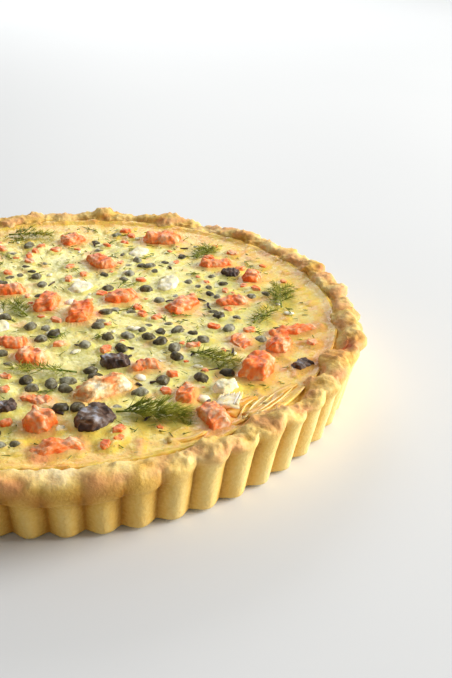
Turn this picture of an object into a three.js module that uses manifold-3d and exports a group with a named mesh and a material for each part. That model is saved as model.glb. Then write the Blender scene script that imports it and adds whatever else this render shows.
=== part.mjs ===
// A whole smoked salmon, caper and dill quiche in a fluted shortcrust shell, out of its tin.
// Millimetres, +Z up, origin at the middle of the flat base. The side shown in the picture faces -Y.
import * as THREE from "three";
import { mergeVertices } from "three/addons/utils/BufferGeometryUtils.js";
import Module from "manifold-3d";

const wasm = await Module();
wasm.setup();

// Driving dimensions, for a quiche baked in a 24 cm loose-bottomed tart tin.
const FLUTES = 60;
const FLUTE_DEPTH = 3.2;
const FOOT_RADIUS = 113.4; // to the crests of the flutes, at the base
const WALL_TOP_RADIUS = 117.2; // to the crests, where the wall meets the rim
const WALL_TOP = 19;
const RIM_RADIUS = 118.6;
const RIM_TOP = 26;
const RIM_INNER_RADIUS = 109.8;
const SHELL_FLOOR = 4.5; // thickness of the pastry under the filling
const FLOOR_RADIUS = 106;
const FILL_RADIUS = 107.8; // where the custard meets the pastry
const FILL_LEVEL = 22.6;
const GAP = 0.3; // between pieces that touch

const STEPS_PER_FLUTE = 4;
const FILLING_SECTORS = 48;

const DEGREE = Math.PI / 180;
const TURN = 2 * Math.PI;

// The same numbers on every run, from 0 to 1.
function seeded(seed) {
  let state = seed >>> 0;
  return () => {
    state = (Math.imul(state, 1664525) + 1013904223) >>> 0;
    return state / 4294967296;
  };
}

function ease(low, high, value) {
  const share = Math.min(1, Math.max(0, (value - low) / (high - low)));
  return share * share * (3 - 2 * share);
}

// Long waves round the shell, each [how many, size, phase].
function waves(angle, list) {
  return list.reduce((sum, [count, size, phase]) => sum + size * Math.sin(count * angle + phase), 0);
}

// Places where the trimmed dough stands up, leans in over the filling or bulges out past the tin's edge.
// The angle and width are in degrees, the rest in millimetres.
const RIM_LUMPS = [
  { at: -11, wide: 5, rise: 1.4, lean: 2.2, out: 0.6 },
  { at: -22, wide: 4.2, rise: 2.6, lean: -1.4, out: 2.6 },
  { at: -31, wide: 3.6, rise: 3.4, lean: 3.6, out: 0.4 },
  { at: -40, wide: 3.4, rise: 1.6, lean: 2.8, out: 0.6 },
  { at: -48, wide: 2.6, rise: -0.8, lean: 0.4, out: 0 },
  { at: -56, wide: 4.4, rise: 2, lean: 3.6, out: 0.3 },
  { at: -67, wide: 4.6, rise: 1, lean: 1.8, out: 0.8 },
  { at: -84, wide: 9, rise: 0.5, lean: 0.6, out: 1.2 },
  { at: -104, wide: 10, rise: 0.7, lean: 0.4, out: 1.4 },
  { at: -126, wide: 7, rise: 1.6, lean: 2, out: 0.9 },
  { at: -147, wide: 5, rise: -0.6, lean: 2.6, out: 0.5 },
  { at: -165, wide: 6, rise: 2, lean: 0.8, out: 1.5 },
  { at: 4, wide: 4, rise: 0.6, lean: 0.4, out: 1.6 },
  { at: 14, wide: 4.4, rise: 1.8, lean: 1.4, out: 0.8 },
  { at: 26, wide: 4, rise: 1, lean: 2.4, out: 1.6 },
  { at: 41, wide: 5, rise: 1.8, lean: 0.9, out: 0.9 },
  { at: 53, wide: 3.6, rise: -0.6, lean: 1.6, out: 0.2 },
  { at: 63, wide: 4.6, rise: 1.8, lean: 1.8, out: 0.9 },
  { at: 80, wide: 3.6, rise: 3, lean: 1.2, out: 0.9 },
  { at: 99, wide: 7, rise: 0.8, lean: 2.4, out: 0.7 },
  { at: 121, wide: 5, rise: 2, lean: 0.9, out: 1.3 },
  { at: 143, wide: 6, rise: 0.9, lean: 2.4, out: 0.6 },
  { at: 163, wide: 5, rise: 1.6, lean: 1.2, out: 1.2 },
];

// 1 at the place given in degrees, falling to nothing beyond the width.
function near(angle, at, wide) {
  const apart = ((((angle / DEGREE - at) % 360) + 540) % 360) - 180;
  return Math.exp(-((apart / wide) ** 2));
}

function lumps(angle, what) {
  return RIM_LUMPS.reduce((sum, lump) => sum + lump[what] * near(angle, lump.at, lump.wide), 0);
}

// Trimmed by hand, so each flute ends a little higher or lower, and further out or in, than the next.
const trimDraw = seeded(17);
const fluteTrims = Array.from({ length: FLUTES }, () => ({
  rise: 1.1 * (trimDraw() - 0.45),
  lean: 1.5 * (trimDraw() - 0.4),
  out: 0.7 * (trimDraw() - 0.5),
}));

function trim(angle, what) {
  const place = (angle / TURN) * FLUTES - 0.5 + FLUTES;
  const flute = Math.floor(place);
  const from = fluteTrims[flute % FLUTES][what];
  const to = fluteTrims[(flute + 1) % FLUTES][what];
  return from + (to - from) * ease(0, 1, place - flute);
}

// From one of these angles to the other the dough was folded back into a thick smooth band, which hangs below
// the top of the wall and stands out from it. The fold runs out over the given degrees at both ends.
const FOLD_FROM = -166;
const FOLD_TO = -78;
const FOLD_RUN_OUT = 10;
const FOLD_DROP = 3.2;
const FOLD_OUT = 1.4;

function folded(angle) {
  const degrees = ((angle / DEGREE + 540) % 360) - 180;
  const start = ease(FOLD_FROM - FOLD_RUN_OUT, FOLD_FROM + FOLD_RUN_OUT, degrees);
  return start * (1 - ease(FOLD_TO - FOLD_RUN_OUT, FOLD_TO + FOLD_RUN_OUT, degrees));
}

// Depth of the flutes below their crests. The crests are wide at the top of the wall and narrow at its foot.
const CREST_AT_TOP = 0.8;
const CREST_AT_FOOT = 1.25;

function fluteDip(angle, crest) {
  return FLUTE_DEPTH * (1 - Math.abs(Math.sin((FLUTES / 2) * angle)) ** crest);
}

function fillEdge(angle) {
  return FILL_RADIUS + waves(angle, [[3, 0.4, 1], [7, 0.3, 2.2]]);
}

// Height of the set custard: slow swells, and a small climb where it baked on to the pastry.
function surfaceHeight(x, y) {
  const radius = Math.hypot(x, y);
  const swell = 0.45 * Math.sin(x / 13 + 1.2) * Math.cos(y / 16 - 0.4) + 0.3 * Math.sin((x + 1.7 * y) / 19 + 2);
  return FILL_LEVEL + swell * (1 - ease(84, 104, radius)) + 0.9 * ease(90, 107, radius);
}

// A lathe with every point put where place(angle, row) says, as [radius, height].
function turned(rows, sectors, place) {
  const profile = rows.map(([radius, height]) => new THREE.Vector2(radius, height));
  const geometry = new THREE.LatheGeometry(profile, sectors);
  const position = geometry.getAttribute("position");
  for (let sector = 0; sector <= sectors; sector += 1) {
    const angle = (TURN * (sector % sectors)) / sectors;
    rows.forEach((point, row) => {
      const [radius, height] = place(angle, row);
      position.setXYZ(sector * rows.length + row, radius * Math.cos(angle), radius * Math.sin(angle), height);
    });
  }
  return geometry;
}

function solidOf(geometry) {
  const bare = geometry.clone();
  bare.deleteAttribute("normal");
  bare.deleteAttribute("uv");
  const merged = mergeVertices(bare, 1e-4);
  return new wasm.Manifold(
    new wasm.Mesh({
      numProp: 3,
      vertProperties: new Float32Array(merged.getAttribute("position").array),
      triVerts: new Uint32Array(merged.index.array),
    }),
  );
}

function geometryOf(solid) {
  const mesh = solid.getMesh();
  const geometry = new THREE.BufferGeometry();
  geometry.setAttribute("position", new THREE.BufferAttribute(new Float32Array(mesh.vertProperties), 3));
  geometry.setIndex(new THREE.BufferAttribute(new Uint32Array(mesh.triVerts), 1));
  return geometry;
}

function food(color, roughness) {
  return new THREE.MeshStandardMaterial({ color, roughness, metalness: 0 });
}

const pastry = food(0xe0b878, 0.8);
const custard = food(0xeedc86, 0.45);
const salmonFlesh = food(0xec7550, 0.5);
const toastedFlesh = food(0xe3a878, 0.65);
const softCheese = food(0xf3ecc8, 0.5);
const cookedOnion = food(0x5a3e40, 0.45);
const dillGreen = food(0x4f6b26, 0.6);

const quiche = new THREE.Group();

function add(name, geometry, material) {
  const mesh = new THREE.Mesh(geometry, material);
  mesh.name = name;
  quiche.add(mesh);
  return mesh;
}

// The pastry shell: floor, fluted wall, and a ragged rim that is folded back thick at the front left.
const FOOT_BEVEL = 1.3;
const shellRows = [
  [0, 0],
  [FOOT_RADIUS - FLUTE_DEPTH, 0],
  [FOOT_RADIUS, FOOT_BEVEL],
  [WALL_TOP_RADIUS, WALL_TOP],
  [WALL_TOP_RADIUS + 0.6, WALL_TOP + 2.4],
  [RIM_RADIUS, RIM_TOP - 2],
  [RIM_RADIUS - 2.4, RIM_TOP],
  [RIM_INNER_RADIUS + 1.8, RIM_TOP - 0.2],
  [RIM_INNER_RADIUS, RIM_TOP - 1.8],
  [FILL_RADIUS, FILL_LEVEL],
  [FLOOR_RADIUS, SHELL_FLOOR],
  [0, SHELL_FLOOR],
];

function shellPoint(angle, row) {
  const [radius, height] = shellRows[row];
  const dip = fluteDip(angle, CREST_AT_TOP);
  const footDip = fluteDip(angle, CREST_AT_FOOT);
  const fold = folded(angle);
  const shown = dip * (1 - 0.86 * fold);
  const rough = 1 - 0.6 * fold;
  const out = lumps(angle, "out") + rough * trim(angle, "out");
  const lean = lumps(angle, "lean") + rough * trim(angle, "lean");
  const rise = lumps(angle, "rise") + rough * trim(angle, "rise") + waves(angle, [[4, 0.3, 2]]);
  return [
    [radius, height],
    [radius - 0.5 * footDip, height],
    [radius - footDip, height],
    [radius - dip - 0.2 * FOLD_DROP * fold, height - FOLD_DROP * fold],
    [radius - shown + 0.4 * out + FOLD_OUT * fold, height - 0.85 * FOLD_DROP * fold],
    [radius - 0.9 * shown + out, height + 0.5 * rise],
    [radius - 0.45 * shown + 0.8 * out, height + rise - 0.1 * shown],
    [radius - 0.7 * lean, height + 0.8 * rise],
    [radius - lean, height + 0.5 * rise],
    [fillEdge(angle), height],
    [radius, height],
    [radius, height],
  ][row];
}

add("crust", turned(shellRows, FLUTES * STEPS_PER_FLUTE, shellPoint), pastry);

// Cut pieces of topping: an uneven prism with a sloping shoulder, its lower part sunk in the custard.
// Places are in millimetres and turns in degrees; tall is what stands above the custard.
const CORNERS = 8;
const SUNK = 2;
const POCKET_TOP = 8; // above anything fused to the custard

const salmonPieces = [
  { x: -24, y: -20, long: 14, wide: 9, tall: 3.4, turn: -20 },
  { x: -17, y: -33, long: 14.5, wide: 10, tall: 4, turn: -35 },
  { x: 26, y: -46, long: 11.5, wide: 7, tall: 2.8, turn: 0 },
  { x: -14, y: -65, long: 14, wide: 6.5, tall: 2.4, turn: -20 },
  { x: -13, y: -80, long: 12, wide: 11.5, tall: 6, turn: 70 },
  { x: -7, y: -95.5, long: 20, wide: 9, tall: 3, turn: 8 },
  { x: 38, y: -68.5, long: 12.5, wide: 7.5, tall: 4.2, turn: 75 },
  { x: 45, y: -86, long: 18, wide: 10, tall: 4.6, turn: 105 },
  { x: 67, y: -55, long: 19, wide: 13, tall: 6.4, turn: 60 },
  { x: 65, y: -33, long: 14, wide: 8.5, tall: 2.2, turn: 100 },
  { x: 79, y: -38, long: 14, wide: 10, tall: 4.8, turn: 60 },
  { x: 88, y: -26, long: 25, wide: 5.5, tall: 3, turn: 8 },
  { x: 3, y: 0, long: 18, wide: 11, tall: 5, turn: 80 },
  { x: -10, y: 12, long: 17, wide: 10, tall: 4.8, turn: 70 },
  { x: 21, y: 15, long: 17, wide: 11, tall: 4, turn: 30 },
  { x: 46, y: 4, long: 19, wide: 10, tall: 4, turn: 40 },
  { x: 68, y: 4, long: 14, wide: 8, tall: 3, turn: 0 },
  { x: 81, y: 26, long: 10, wide: 9, tall: 4, turn: 20 },
  { x: 67, y: 45, long: 17, wide: 8.5, tall: 3.4, turn: 10 },
  { x: 46, y: 79, long: 20, wide: 13, tall: 4.8, turn: -20 },
  { x: 2, y: 84, long: 13, wide: 10, tall: 3.8, turn: 30 },
  { x: 14, y: 54, long: 18, wide: 9.5, tall: 4, turn: -60 },
  { x: -27, y: 28, long: 16, wide: 8.5, tall: 3.8, turn: 0 },
  { x: -48, y: 3, long: 16, wide: 11, tall: 4.2, turn: 40 },
  { x: -60, y: -24, long: 15, wide: 10, tall: 3.4, turn: -30 },
  { x: -50, y: -57, long: 18, wide: 9.5, tall: 4.6, turn: 15 },
  { x: -77, y: 13, long: 14, wide: 10, tall: 3.6, turn: 80 },
  { x: -60, y: 41, long: 19, wide: 10, tall: 4, turn: -45 },
  { x: -40, y: 67, long: 15, wide: 11, tall: 4, turn: 10 },
  { x: -87, y: -22, long: 12, wide: 8, tall: 2.8, turn: 60 },
  { x: -44, y: -83, long: 15, wide: 9.5, tall: 3.8, turn: -15 },
];
const toastedPieces = [{ x: 9, y: -61, long: 25, wide: 11.5, tall: 5, turn: 28 }];
const cheesePieces = [
  { x: 4, y: 28, long: 12, wide: 10, tall: 2.4, turn: 50 },
  { x: 43, y: 27, long: 15, wide: 10, tall: 2.6, turn: 70 },
  { x: 53, y: -66, long: 10, wide: 7.5, tall: 3.6, turn: 30 },
  { x: -31, y: -6, long: 13, wide: 10, tall: 2.2, turn: 15 },
  { x: 33, y: 64, long: 13, wide: 9, tall: 2.2, turn: 60 },
  { x: -54, y: 22, long: 11, wide: 10, tall: 2.4, turn: 0 },
  { x: -70, y: -46, long: 12, wide: 9, tall: 2.4, turn: 35 },
];
const onionPieces = [
  { x: 15, y: -41.5, long: 13, wide: 8.5, tall: 4.2, turn: -10 },
  { x: 5, y: -81.5, long: 16, wide: 12.5, tall: 4.8, turn: 45 },
  { x: -25, y: -69, long: 11, wide: 8, tall: 3, turn: 20 },
  { x: 84, y: -55, long: 9.5, wide: 7, tall: 2.6, turn: 25 },
  { x: 72, y: 33, long: 10, wide: 7.5, tall: 3, turn: -30 },
  { x: -35, y: -38, long: 11, wide: 9, tall: 3.2, turn: 65 },
];

// Radius of each corner of a piece, as a share of its ellipse, and the height share of its top.
// Every second corner stands out, so the pieces are cut more like blocks than like drops.
function cornersOf(draw) {
  return Array.from({ length: CORNERS }, (_, i) => ({
    reach: (i % 2 ? 0.98 : 0.84) + 0.22 * draw(),
    shoulder: 0.66 + 0.2 * draw(),
    lift: 0.72 + 0.28 * draw(),
  }));
}

// CylinderGeometry with its corners moved; level is 1 at the top ring, 0 at the widest and -1 at the bottom.
function cutPiece(piece, corners, grow, bottom, top, shoulders) {
  const geometry = new THREE.CylinderGeometry(1, 1, 2, CORNERS, 2);
  geometry.rotateX(Math.PI / 2);
  const position = geometry.getAttribute("position");
  for (let i = 0; i < position.count; i += 1) {
    const level = Math.round(position.getZ(i));
    const middle = Math.hypot(position.getX(i), position.getY(i)) < 0.5;
    const side = Math.atan2(position.getY(i), position.getX(i));
    const number = (Math.round((side / TURN) * CORNERS) + CORNERS) % CORNERS;
    const corner = corners[number];
    const angle = (TURN * number) / CORNERS;
    const shoulder = shoulders && level === 1 ? corner.shoulder : 1;
    const x = 0.5 * piece.long * Math.cos(angle) * corner.reach * shoulder;
    const y = 0.5 * piece.wide * Math.sin(angle) * corner.reach * shoulder;
    const stretch = 1 + grow / Math.hypot(x, y);
    const height = level === 1 ? top * (shoulders && !middle ? corner.lift : 1) : level === 0 ? 0.3 * top : bottom;
    position.setXYZ(i, middle ? 0 : x * stretch, middle ? 0 : y * stretch, height);
  }
  geometry.rotateZ(piece.turn * DEGREE);
  geometry.translate(piece.x, piece.y, surfaceHeight(piece.x, piece.y));
  return geometry;
}

const pockets = [];
const kept = []; // ellipses that small toppings stay out of

function addPieces(kind, pieces, material, seed) {
  pieces.forEach((piece, index) => {
    const corners = cornersOf(seeded(seed + index));
    const name = pieces.length > 1 ? `${kind}_${index + 1}` : kind;
    add(name, cutPiece(piece, corners, 0, -SUNK, piece.tall, true), material);
    pockets.push(solidOf(cutPiece(piece, corners, 2 * GAP, -SUNK - GAP, POCKET_TOP, false)));
    kept.push(piece);
  });
}

addPieces("salmon", salmonPieces, salmonFlesh, 11);
addPieces("salmon_toasted", toastedPieces, toastedFlesh, 61);
addPieces("cheese", cheesePieces, softCheese, 71);
addPieces("onion", onionPieces, cookedOnion, 81);

// Dill sprigs lying on the custard: a thin wavy leaf with pointed leaflets ahead on both sides of its stem.
// Forked leaflets end in two points.
const STEM_HALF = 0.5;
const LEAFLET_HALF = 0.4;
const LEAF_THICKNESS = 0.6;
const dillSprigs = [
  { x: -13, y: -44, long: 27, wide: 9, turn: 170, leaflets: 10, forked: false },
  { x: 52, y: -45, long: 20, wide: 12, turn: -35, leaflets: 10, forked: false },
  { x: 25, y: -80, long: 25, wide: 15, turn: -12, leaflets: 12, forked: true },
  { x: 90, y: 5, long: 21, wide: 13, turn: 75, leaflets: 8, forked: true },
  { x: 79, y: -12, long: 16, wide: 9, turn: 40, leaflets: 6, forked: false },
  { x: -22, y: 9, long: 16, wide: 9, turn: 115, leaflets: 6, forked: false },
  { x: -18, y: 93, long: 23, wide: 11, turn: -8, leaflets: 8, forked: true },
  { x: 64, y: 60, long: 16, wide: 11, turn: 55, leaflets: 8, forked: false },
  { x: -74, y: -8, long: 18, wide: 11, turn: -25, leaflets: 10, forked: false },
  { x: -36, y: -61, long: 17, wide: 9, turn: 100, leaflets: 8, forked: false },
];

// The corners of one leaflet from root to root, ahead of its place on the stem. side is 1 or -1.
function leafletPoints(sprig, share, side, draw) {
  const at = share * sprig.long;
  const reach = 0.5 * sprig.wide * (0.8 + 0.4 * draw()) * (1.15 - 0.5 * share);
  const spread = (46 + 3 * draw()) * DEGREE;
  const point = (length, angle) => [at + length * Math.cos(angle), side * (STEM_HALF + length * Math.sin(angle))];
  const tips = sprig.forked
    ? [point(reach, spread + 0.09), point(0.5 * reach, spread), point(0.9 * reach, spread - 0.08)]
    : [point(reach, spread)];
  return [[at - LEAFLET_HALF, side * STEM_HALF], ...tips, [at + LEAFLET_HALF + 0.3, side * STEM_HALF]];
}

function sprigLeaf(sprig, seed) {
  const draw = seeded(seed);
  const pairs = sprig.leaflets / 2;
  const sides = [1, -1].map((side) => {
    const start = side > 0 ? 0.1 : 0.18;
    return Array.from({ length: pairs }, (_, i) =>
      leafletPoints(sprig, start + (i * (0.92 - start)) / pairs, side, draw),
    ).flat();
  });
  const outline = [[0, STEM_HALF], ...sides[0], [sprig.long, 0], ...sides[1].reverse(), [0, -STEM_HALF]];
  const bend = 2.4 * (draw() - 0.5);
  const bent = outline.map(
    ([along, across]) => new THREE.Vector2(along, across + bend * Math.sin((Math.PI * along) / sprig.long)),
  );
  const leaf = new THREE.ExtrudeGeometry(new THREE.Shape(bent), { depth: LEAF_THICKNESS, bevelEnabled: false });
  leaf.translate(-sprig.long / 2, 0, 0);
  leaf.rotateZ(sprig.turn * DEGREE);
  leaf.translate(sprig.x, sprig.y, 0);
  const position = leaf.getAttribute("position");
  for (let i = 0; i < position.count; i += 1) {
    const x = position.getX(i);
    const y = position.getY(i);
    const flutter = 0.4 + 0.3 * Math.sin(x / 2.6 + y / 3 + seed);
    position.setZ(i, position.getZ(i) + surfaceHeight(x, y) + GAP + flutter);
  }
  return leaf;
}

dillSprigs.forEach((sprig, index) => {
  add(`dill_${index + 1}`, sprigLeaf(sprig, 200 + index), dillGreen);
  kept.push(sprig);
});

// The custard filling, with the capers and the smallest flakes of salmon fused to it.
const fillingRings = [103, 96, 86, 70, 52, 30];
const fillingRows = [
  [0, SHELL_FLOOR + GAP],
  [FLOOR_RADIUS - 2 * GAP, SHELL_FLOOR + GAP],
  [FILL_RADIUS - 2 * GAP, FILL_LEVEL],
  ...fillingRings.map((radius) => [radius, FILL_LEVEL]),
  [0, FILL_LEVEL],
];
const EDGE_ROW = 2;

function fillingPoint(angle, row) {
  const [rowRadius, height] = fillingRows[row];
  const radius = row === EDGE_ROW ? fillEdge(angle) - 2 * GAP : rowRadius;
  if (row < EDGE_ROW) return [radius, height];
  const level = surfaceHeight(radius * Math.cos(angle), radius * Math.sin(angle));
  return [radius, row === EDGE_ROW ? level - GAP : level];
}

function clearOfPieces(x, y, margin) {
  return kept.every((piece) => {
    const dx = x - piece.x;
    const dy = y - piece.y;
    const turn = piece.turn * DEGREE;
    const u = dx * Math.cos(turn) + dy * Math.sin(turn);
    const v = dy * Math.cos(turn) - dx * Math.sin(turn);
    return Math.hypot(u / (0.5 * piece.long + margin), v / (0.5 * piece.wide + margin)) > 1;
  });
}

const CAPER_RADIUS = 2.7;
const FLAKE_RADIUS = 3.2;
const FLAKE_THICKNESS = 3.6;
const capersAtFront = [
  [-28, -29], [-13, -19], [-8, -16], [4, -26], [13, -22], [21, -22], [29, -24], [33, -29], [41, -20],
  [38, -35], [35, -47], [38, -42], [5, -46], [-3, -53], [7, -51], [-18, -51], [-9, -55], [-4, -59],
  [-16, -57], [-6, -72], [0, -72], [31, -58], [45, -58], [55, -56], [22, -65], [28, -61], [62, -21],
  [60, -8], [50, -30], [18, -31],
];
const flakesAtFront = [
  [-6, -24], [12, -31], [-25, -57], [31, -65], [56, -18], [70, -23], [34, -6], [27, 4], [92, -38],
  [80, 14], [31, 32], [13, -88], [-24, -78], [-1, 38], [35, -54],
];
const SCATTERED_CAPERS = 12;
const SCATTERED_FLAKES = 6;
const SCATTER_RADIUS = 92;

const placed = [];

function room(x, y, radius) {
  const apart = placed.every((other) => Math.hypot(x - other.x, y - other.y) > radius + other.radius - 0.4);
  return apart && clearOfPieces(x, y, radius + 0.7);
}

function scatter(draw, count, radius, kind) {
  for (let tries = 0, made = 0; made < count && tries < 4000; tries += 1) {
    const distance = SCATTER_RADIUS * Math.sqrt(draw());
    const angle = TURN * draw();
    const x = distance * Math.cos(angle);
    const y = distance * Math.sin(angle);
    const atFront = y < -14 && x > -30;
    if (!atFront && room(x, y, radius)) {
      placed.push({ x, y, radius, kind });
      made += 1;
    }
  }
}

function placeByHand(places, radius, kind) {
  places.forEach(([x, y]) => {
    if (room(x, y, radius)) placed.push({ x, y, radius, kind });
  });
}

placeByHand(flakesAtFront, FLAKE_RADIUS, "flake");
placeByHand(capersAtFront, CAPER_RADIUS, "caper");
const scatterDraw = seeded(5);
scatter(scatterDraw, SCATTERED_FLAKES, FLAKE_RADIUS, "flake");
scatter(scatterDraw, SCATTERED_CAPERS, CAPER_RADIUS, "caper");

function smallTopping({ x, y, radius, kind }, index) {
  const draw = seeded(400 + index);
  const size = radius * (0.85 + 0.3 * draw());
  const caper = kind === "caper";
  const geometry = caper
    ? new THREE.IcosahedronGeometry(size)
    : new THREE.CylinderGeometry(0.7 * size, size, FLAKE_THICKNESS, 5);
  geometry.rotateX(Math.PI / 2);
  if (caper) geometry.scale(1.14, 0.96, 0.86);
  geometry.rotateZ(TURN * draw());
  geometry.translate(x, y, surfaceHeight(x, y) + (caper ? 0.12 * size : 0));
  return solidOf(geometry);
}

const custardBody = solidOf(turned(fillingRows, FILLING_SECTORS, fillingPoint));
const fused = wasm.Manifold.union([custardBody, ...placed.map(smallTopping)]);
const filling = fused.subtract(wasm.Manifold.union(pockets));
add("filling", geometryOf(filling), custard);

export default quiche;
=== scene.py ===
import math
import random

import bmesh
import bpy
from mathutils import Matrix, Vector, kdtree, noise
from mathutils.bvhtree import BVHTree


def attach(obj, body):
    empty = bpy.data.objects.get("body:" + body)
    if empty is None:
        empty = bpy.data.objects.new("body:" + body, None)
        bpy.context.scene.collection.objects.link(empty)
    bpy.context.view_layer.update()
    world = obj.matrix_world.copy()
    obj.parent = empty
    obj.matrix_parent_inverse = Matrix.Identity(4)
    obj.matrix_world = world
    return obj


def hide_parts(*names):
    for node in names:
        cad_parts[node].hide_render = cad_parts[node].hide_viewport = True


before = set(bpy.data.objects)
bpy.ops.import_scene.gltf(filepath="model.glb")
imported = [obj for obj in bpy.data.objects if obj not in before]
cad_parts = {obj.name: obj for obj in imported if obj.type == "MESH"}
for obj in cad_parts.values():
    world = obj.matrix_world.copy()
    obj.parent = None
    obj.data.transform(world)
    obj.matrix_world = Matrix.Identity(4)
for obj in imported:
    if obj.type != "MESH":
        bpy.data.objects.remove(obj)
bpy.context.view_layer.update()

MM = 0.001
TURN = 2 * math.pi

# Driving dimensions, the same as the solids have.
FLUTES = 60
FLUTE_DEPTH = 3.2
FOOT_RADIUS = 113.4
WALL_TOP_RADIUS = 117.2
WALL_TOP = 19
RIM_RADIUS = 118.6
RIM_TOP = 26
RIM_INNER_RADIUS = 109.8
SHELL_FLOOR = 4.5
FLOOR_RADIUS = 106
FILL_RADIUS = 107.8
FILL_LEVEL = 22.6
FOOT_BEVEL = 1.3
CUSTARD_GAP = 0.4


def ease(low, high, value):
    """A soft step: 0 up to low, 1 from high on."""
    share = min(1.0, max(0.0, (value - low) / (high - low)))
    return share * share * (3 - 2 * share)


def bell(value, centre, width):
    """1 at the centre, falling softly to nothing beyond the width."""
    return math.exp(-(((value - centre) / width) ** 2))


def rough(x, y, z, grain):
    """Smooth random relief between about -1 and 1, with lumps of the size of grain."""
    return noise.noise(Vector((x / grain, y / grain, z / grain)))


def waves(angle, terms):
    """Sum of waves round the shell; each term is how many go round, their size and their phase."""
    return sum(size * math.sin(count * angle + phase) for count, size, phase in terms)


# Where the trimmed dough stands up, leans in over the filling or bulges out: degrees, then millimetres.
RIM_LUMPS = [
    # at, wide, rise, lean, out
    (-11, 5, 1.4, 2.2, 0.6),
    (-22, 4.2, 2.6, -1.4, 2.6),
    (-31, 3.6, 3.4, 3.6, 0.4),
    (-40, 3.4, 1.6, 2.8, 0.6),
    (-48, 2.6, -0.8, 0.4, 0),
    (-56, 4.4, 2, 3.6, 0.3),
    (-67, 4.6, 1, 1.8, 0.8),
    (-84, 9, 0.5, 0.6, 1.2),
    (-104, 10, 0.7, 0.4, 1.4),
    (-126, 7, 1.6, 2, 0.9),
    (-147, 5, -0.6, 2.6, 0.5),
    (-165, 6, 2, 0.8, 1.5),
    (4, 4, 0.6, 0.4, 1.6),
    (14, 4.4, 1.8, 1.4, 0.8),
    (26, 4, 1, 2.4, 1.6),
    (41, 5, 1.8, 0.9, 0.9),
    (53, 3.6, -0.6, 1.6, 0.2),
    (63, 4.6, 1.8, 1.8, 0.9),
    (80, 3.6, 3, 1.2, 0.9),
    (99, 7, 0.8, 2.4, 0.7),
    (121, 5, 2, 0.9, 1.3),
    (143, 6, 0.9, 2.4, 0.6),
    (163, 5, 1.6, 1.2, 1.2),
]


class Draw:
    """The same numbers on every run, from 0 to 1, as the solids were made with."""

    def __init__(self, seed):
        self.state = seed

    def __call__(self):
        self.state = (self.state * 1664525 + 1013904223) % 4294967296
        return self.state / 4294967296


def near(angle, at, wide):
    """1 at the place given in degrees, falling to nothing beyond the width."""
    return bell((math.degrees(angle) - at + 180) % 360 - 180, 0, wide)


# Trimmed by hand, so each flute ends a little higher or lower, and further out or in, than the next.
trim_draw = Draw(17)
FLUTE_TRIMS = [
    (1.1 * (trim_draw() - 0.45), 1.5 * (trim_draw() - 0.4), 0.7 * (trim_draw() - 0.5))
    for _ in range(FLUTES)
]

# Between these angles the dough was folded back into a thick band, which hangs below the top of the wall.
FOLD_FROM = -166
FOLD_TO = -78
FOLD_RUN_OUT = 10
FOLD_DROP = 3.2
FOLD_OUT = 1.4
CREST_AT_TOP = 0.8
CREST_AT_FOOT = 1.25


def folded_share(angle):
    """1 where the dough is folded back into the band, and 0 elsewhere."""
    degrees = (math.degrees(angle) + 180) % 360 - 180
    start = ease(FOLD_FROM - FOLD_RUN_OUT, FOLD_FROM + FOLD_RUN_OUT, degrees)
    return start * (1 - ease(FOLD_TO - FOLD_RUN_OUT, FOLD_TO + FOLD_RUN_OUT, degrees))


def flute_dip(angle, crest):
    """Depth of the flutes below their crests, which are wide at the wall's top and narrow at its foot."""
    return FLUTE_DEPTH * (1 - abs(math.sin(FLUTES / 2 * angle)) ** crest)


def rim_play(angle):
    """Rise, lean and outward bulge of the rim at one angle."""
    place = angle / TURN * FLUTES - 0.5 + FLUTES
    flute = math.floor(place)
    share = ease(0, 1, place - flute)
    ragged = 1 - 0.6 * folded_share(angle)
    play = [
        ragged * (a + (b - a) * share)
        for a, b in zip(FLUTE_TRIMS[flute % FLUTES], FLUTE_TRIMS[(flute + 1) % FLUTES])
    ]
    for at, wide, *sizes in RIM_LUMPS:
        lump = near(angle, at, wide)
        play = [sum_so_far + size * lump for sum_so_far, size in zip(play, sizes)]
    play[0] += waves(angle, [(4, 0.3, 2)])
    return play


def fill_edge(angle):
    """Radius at which the custard meets the pastry."""
    return FILL_RADIUS + waves(angle, [(3, 0.4, 1), (7, 0.3, 2.2)])


def surface_height(x, y):
    """Top of the set custard, without its fine relief."""
    radius = math.hypot(x, y)
    swell = 0.45 * math.sin(x / 13 + 1.2) * math.cos(y / 16 - 0.4) + 0.3 * math.sin((x + 1.7 * y) / 19 + 2)
    return FILL_LEVEL + swell * (1 - ease(84, 104, radius)) + 0.9 * ease(90, 107, radius)


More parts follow.
